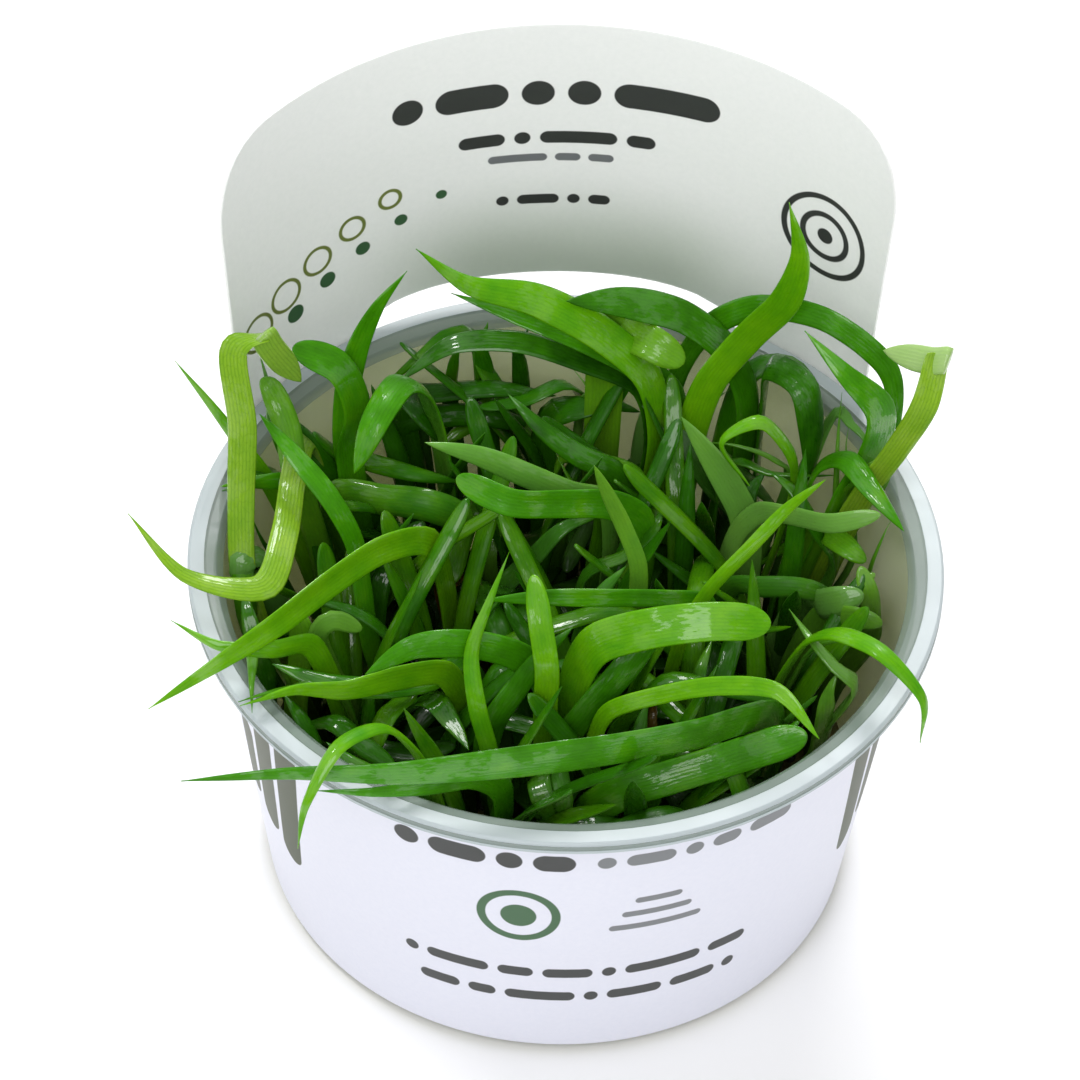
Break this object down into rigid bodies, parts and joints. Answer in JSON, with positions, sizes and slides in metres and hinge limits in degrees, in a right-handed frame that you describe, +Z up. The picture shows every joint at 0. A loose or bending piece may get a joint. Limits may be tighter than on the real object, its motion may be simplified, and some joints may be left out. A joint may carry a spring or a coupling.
{
  "type": "potted dwarf sagittaria",
  "caption": "Dwarf sagittaria aquarium plant: a dense tuft of grass-like green leaves rooted in gel in a clear round cup, with a wrap-round label sleeve and a tall round back tab.",
  "frame": {"origin": "middle of the cup's flat base, on the surface that it stands on", "axes": "+Z up, -Y towards the front of the label, +X to the right seen from the front; the tall tab is at +Y"},
  "size_m": [0.1016, 0.0993, 0.0952],
  "materials": {
    "clear_plastic": "clear moulded polypropylene or polystyrene, slightly milky, glossy",
    "label_film": "white satin printed plastic film, slightly see-through at the tab",
    "gel": "wet cloudy growing gel, stained brown-green",
    "leaf": "living leaf, bright to deep green with a wet gloss and fine lengthwise veins",
    "young_leaf": "living leaf, deeper green in the shade of the tuft"
  },
  "bodies": {
    "root": {"cup": "clear_plastic", "label_sleeve": "label_film", "growing_gel": "gel", "leaf_tall_back_right": "leaf", "leaf_upright_left": "leaf", "leaf_long_front": "leaf", "leaf_top_back_left": "leaf", "leaf_dark_back": "leaf", "leaf_folded_right": "leaf", "leaf_broad_blunt": "leaf", "leaf_curled_left": "leaf", "leaf_low_left_tip": "leaf", "leaf_high_left_tip": "leaf", "leaf_arch_over_right": "leaf", "leaf_lance_right": "leaf", "leaf_drooping_right": "leaf", "leaf_rim_right": "leaf", "leaf_thick_front": "leaf", "leaf_arch_front_right": "leaf", "leaf_drooping_front": "leaf", "leaf_low_front": "leaf", "leaf_spike_left": "leaf", "leaf_low_left": "leaf", "leaf_band_front_left": "leaf", "leaf_spear_front": "leaf", "leaf_upright_middle": "leaf", "leaf_glossy_middle": "leaf", "leaf_diagonal_middle": "leaf", "leaf_bar_middle": "leaf", "leaf_pale_spear": "leaf", "leaf_blunt_left": "leaf", "leaf_pale_left": "leaf", "leaf_hanging_left": "leaf", "leaf_lance_back_left": "leaf", "leaf_second_back_left": "leaf", "leaf_third_back_left": "leaf", "leaf_dome_left": "leaf", "leaf_stalk_left": "leaf", "leaf_arch_inner_right": "leaf", "leaf_loop_right": "leaf", "leaf_thin_diagonal_right": "leaf", "leaf_pale_right": "leaf", "leaf_grey_right": "leaf", "leaf_side_left": "leaf", "leaf_back_diagonal": "leaf", "plantlet_01": "young_leaf", "plantlet_02": "young_leaf", "plantlet_03": "young_leaf", "plantlet_04": "young_leaf", "plantlet_05": "young_leaf", "plantlet_06": "young_leaf", "plantlet_07": "young_leaf", "plantlet_08": "young_leaf", "plantlet_09": "young_leaf", "plantlet_10": "young_leaf", "plantlet_11": "young_leaf", "plantlet_12": "young_leaf", "plantlet_13": "young_leaf", "plantlet_14": "young_leaf"}
  },
  "joints": []
}
